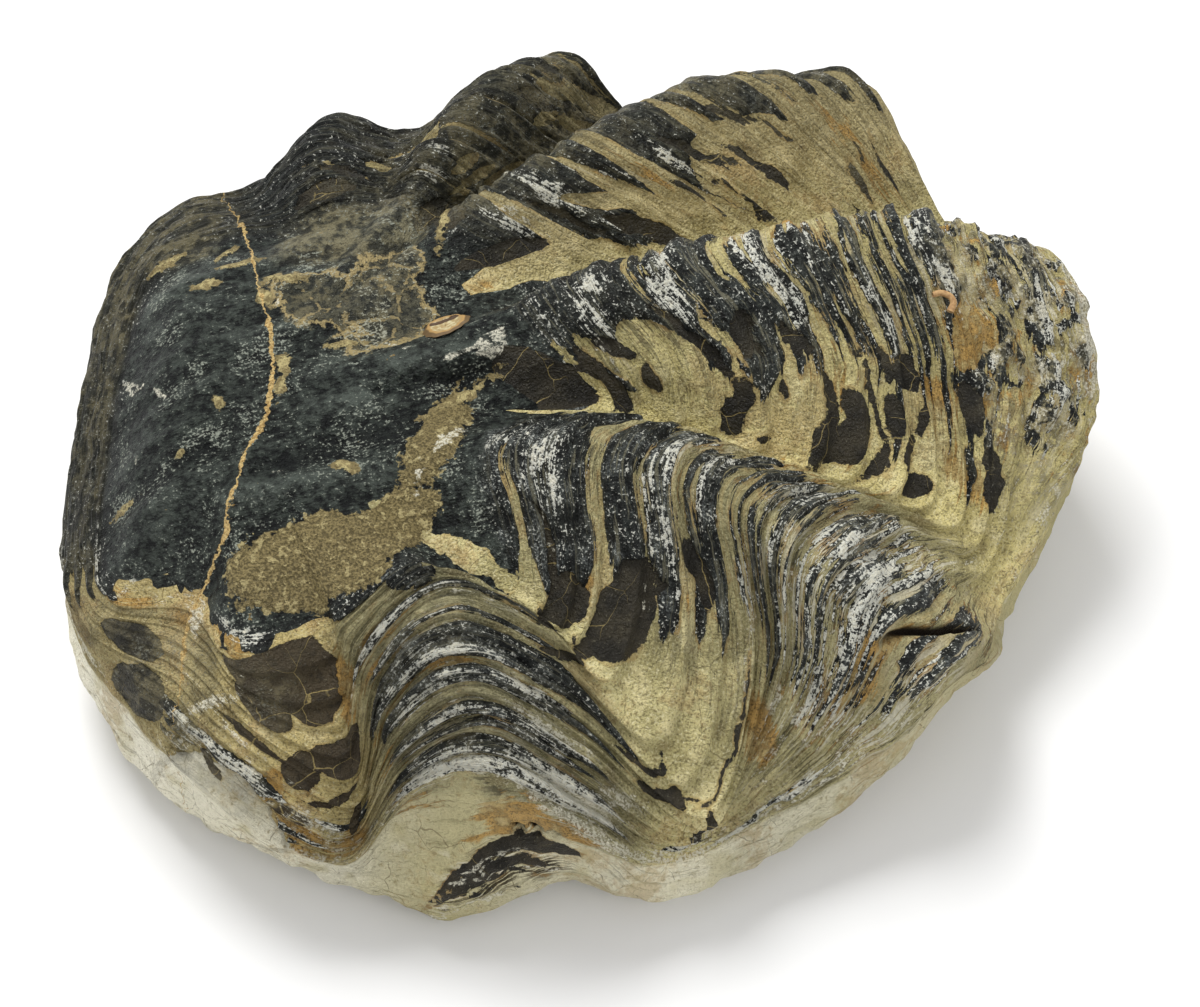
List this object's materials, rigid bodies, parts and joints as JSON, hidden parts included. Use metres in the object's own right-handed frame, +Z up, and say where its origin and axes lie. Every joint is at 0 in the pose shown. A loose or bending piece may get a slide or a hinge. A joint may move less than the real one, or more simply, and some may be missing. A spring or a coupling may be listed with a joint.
{
  "type": "fossil oyster",
  "caption": "Fossil oyster: a thick, zigzag-folded shell of stacked growth sheets, filled and carried by limestone matrix, lying on its flat underside.",
  "frame": {"origin": "middle of the footprint, on the resting face", "axes": "+Z up from the resting face; +X from the smooth beak side towards the long folded margin, along the fossil's greatest length; +Y towards the hinge side"},
  "size_m": [0.208, 0.1866, 0.0779],
  "materials": {
    "fossil_shell_stone": "hard fossil shell worn smooth, slightly satin, banded charcoal, chalk white and ochre with olive limestone between"
  },
  "bodies": {
    "root": {"fossil_oyster": "fossil_shell_stone"}
  },
  "joints": []
}
